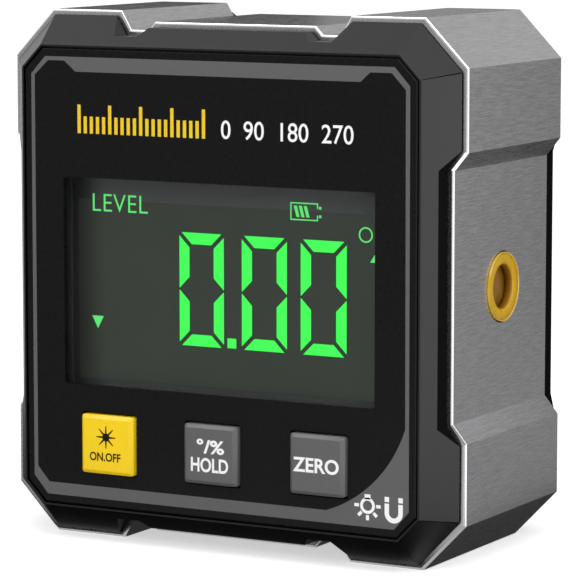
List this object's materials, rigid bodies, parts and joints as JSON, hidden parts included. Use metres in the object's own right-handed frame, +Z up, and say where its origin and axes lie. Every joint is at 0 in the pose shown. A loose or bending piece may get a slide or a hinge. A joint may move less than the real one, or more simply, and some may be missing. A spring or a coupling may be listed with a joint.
{
  "type": "digital angle gauge",
  "caption": "Pocket digital inclinometer: extruded aluminium ring body, lit angle display, push keys, side laser outlet, magnetic base pads and rear battery door.",
  "frame": {"origin": "under the middle of the gauge, in the plane of its bottom pads", "axes": "+X to the right as seen from the display, +Y from the display to the battery door, +Z up"},
  "size_m": [0.0574, 0.0338, 0.06],
  "materials": {
    "brushed_aluminium": "brushed along the depth, edges broken",
    "black_abs": "fine moulded black",
    "printed_panel": "black acrylic overlay, printed",
    "clear_acrylic": "clear pane",
    "black_foam": "closed foam",
    "display_glass": "dark display glass with lit green marks",
    "milky_acrylic": "milky",
    "white_abs": "moulded white",
    "grey_silicone": "striped contact strip",
    "circuit_board": "green solder mask",
    "black_epoxy": "moulded package",
    "nickel_plate": "satin nickel",
    "yellow_abs": "satin yellow",
    "grey_abs": "satin grey",
    "black_nylon": "moulded black",
    "outlet_yellow": "satin amber yellow",
    "brass": "turned",
    "amber_lens": "tinted lens",
    "cell_jacket": "plain sleeve",
    "red_pvc": "lead insulation",
    "black_pvc": "lead insulation",
    "black_steel": "blackened"
  },
  "bodies": {
    "gauge_body": {"side_frame": "brushed_aluminium", "front_bezel": "black_abs", "front_panel": "printed_panel", "display_pane": "clear_acrylic", "display_gasket": "black_foam", "display_glass": "display_glass", "light_guide": "milky_acrylic", "display_holder": "white_abs", "contact_strip": "grey_silicone", "main_board": "circuit_board", "controller_chip": "black_epoxy", "tilt_sensor": "black_epoxy", "clock_crystal": "nickel_plate", "buzzer": "black_epoxy", "outlet_ring": "outlet_yellow", "outlet_lens": "amber_lens", "laser_barrel": "brass", "laser_cradle": "black_nylon", "laser_driver": "circuit_board", "laser_lead": "red_pvc", "rear_cover": "black_abs", "battery_upper": "cell_jacket", "battery_lower": "cell_jacket", "contact_bridge": "nickel_plate", "contact_negative": "nickel_plate", "contact_positive": "nickel_plate", "spring_upper": "nickel_plate", "spring_lower": "nickel_plate", "lead_negative": "black_pvc", "lead_positive": "red_pvc", "switch_power": "nickel_plate", "switch_hold": "nickel_plate", "switch_zero": "nickel_plate", "base_magnet_1": "nickel_plate", "case_screw_1": "black_steel", "base_magnet_2": "nickel_plate", "case_screw_2": "black_steel", "base_magnet_3": "nickel_plate", "case_screw_3": "black_steel", "base_magnet_4": "nickel_plate", "case_screw_4": "black_steel"},
    "power_key": {"key_power": "yellow_abs", "plunger_power": "black_nylon"},
    "hold_key": {"key_hold": "grey_abs", "plunger_hold": "black_nylon"},
    "zero_key": {"key_zero": "grey_abs", "plunger_zero": "black_nylon"},
    "door": {"battery_door": "black_abs"}
  },
  "joints": [
    {"name": "power_press", "type": "slide", "parent": "gauge_body", "child": "power_key", "axis": [0, 1, 0], "range_m": [0, 0.0006], "stiffness_N_per_m": 1000, "springref_m": -0.0006},
    {"name": "hold_press", "type": "slide", "parent": "gauge_body", "child": "hold_key", "axis": [0, 1, 0], "range_m": [0, 0.0006], "stiffness_N_per_m": 1000, "springref_m": -0.0006},
    {"name": "zero_press", "type": "slide", "parent": "gauge_body", "child": "zero_key", "axis": [0, 1, 0], "range_m": [0, 0.0006], "stiffness_N_per_m": 1000, "springref_m": -0.0006},
    {"name": "door_lift", "type": "slide", "parent": "gauge_body", "child": "door", "axis": [0, 1, 0], "range_m": [0, 0.02]}
  ]
}
